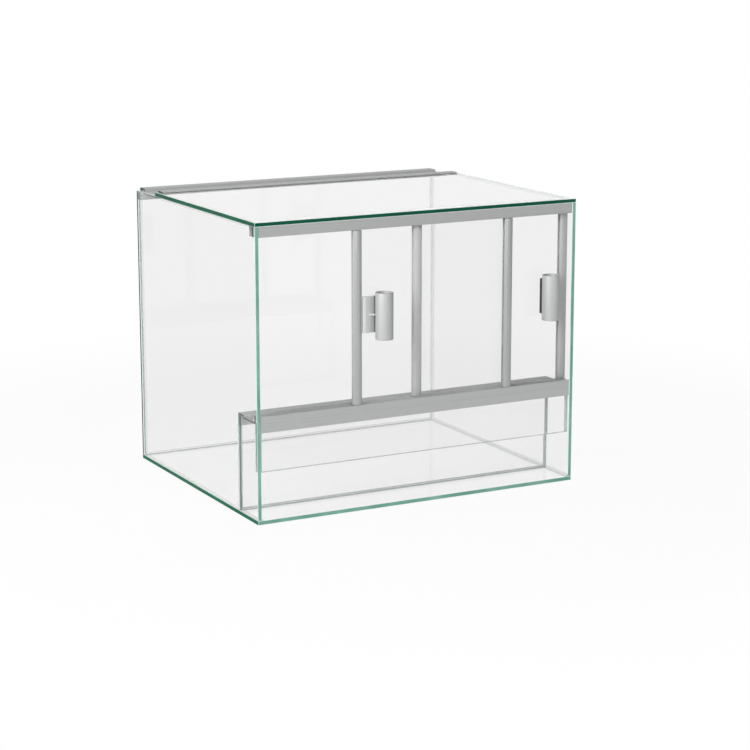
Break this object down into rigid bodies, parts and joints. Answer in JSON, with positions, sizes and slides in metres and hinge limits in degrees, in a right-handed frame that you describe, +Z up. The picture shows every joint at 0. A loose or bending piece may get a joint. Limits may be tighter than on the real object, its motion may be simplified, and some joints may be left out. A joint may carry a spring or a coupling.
{
  "type": "terrarium cabinet",
  "caption": "Front-opening glass terrarium cabinet with perforated aluminium vent profiles and glass doors that slide in double tracks, each with a short tube handle.",
  "frame": {"origin": "centre of the base's underside, on the floor", "axes": "+X to the cabinet's right seen from the front, -Y out of the front, +Z up"},
  "size_m": [0.365, 0.3209, 0.3014],
  "materials": {
    "glass": "clear float glass with polished green edges",
    "aluminium": "satin anodised",
    "silicone": "clear silicone bead",
    "bond": "thin bonding strip",
    "liner": "smooth slide strip",
    "gasket": "clear grey lining",
    "pad": "black foam tape",
    "post": "black moulded plastic"
  },
  "bodies": {
    "cabinet": {"base_pane": "glass", "left_side_pane": "glass", "right_side_pane": "glass", "rear_pane": "glass", "top_pane": "glass", "sill_pane": "glass", "apron_pane": "glass", "lower_vent_strip": "aluminium", "rear_vent_strip": "aluminium", "lower_track": "aluminium", "upper_track": "aluminium", "lower_track_bond": "bond", "upper_track_bond": "bond", "front_track_liner": "liner", "rear_track_liner": "liner", "seam_base_left": "silicone", "seam_base_right": "silicone", "seam_base_rear": "silicone", "seam_base_sill": "silicone", "seam_rear_left": "silicone", "seam_rear_right": "silicone", "seam_sill_left": "silicone", "seam_sill_right": "silicone", "seam_apron_left": "silicone", "seam_apron_right": "silicone", "seam_top_left": "silicone", "seam_top_right": "silicone"},
    "left_door": {"left_door_pane": "glass", "left_door_left_stile": "aluminium", "left_door_right_stile": "aluminium", "left_door_left_gasket": "gasket", "left_door_right_gasket": "gasket", "left_handle_pad": "pad", "left_handle_plate": "aluminium", "left_handle_post": "post", "left_handle_grip": "aluminium"},
    "right_door": {"right_door_pane": "glass", "right_door_left_stile": "aluminium", "right_door_right_stile": "aluminium", "right_door_left_gasket": "gasket", "right_door_right_gasket": "gasket", "right_handle_pad": "pad", "right_handle_plate": "aluminium", "right_handle_post": "post", "right_handle_grip": "aluminium"}
  },
  "joints": [
    {"name": "left_door_slide", "type": "slide", "parent": "cabinet", "child": "left_door", "axis": [1, 0, 0], "range_m": [-0.1024, 0.012]},
    {"name": "right_door_slide", "type": "slide", "parent": "cabinet", "child": "right_door", "axis": [1, 0, 0], "range_m": [-0.019, 0]}
  ]
}
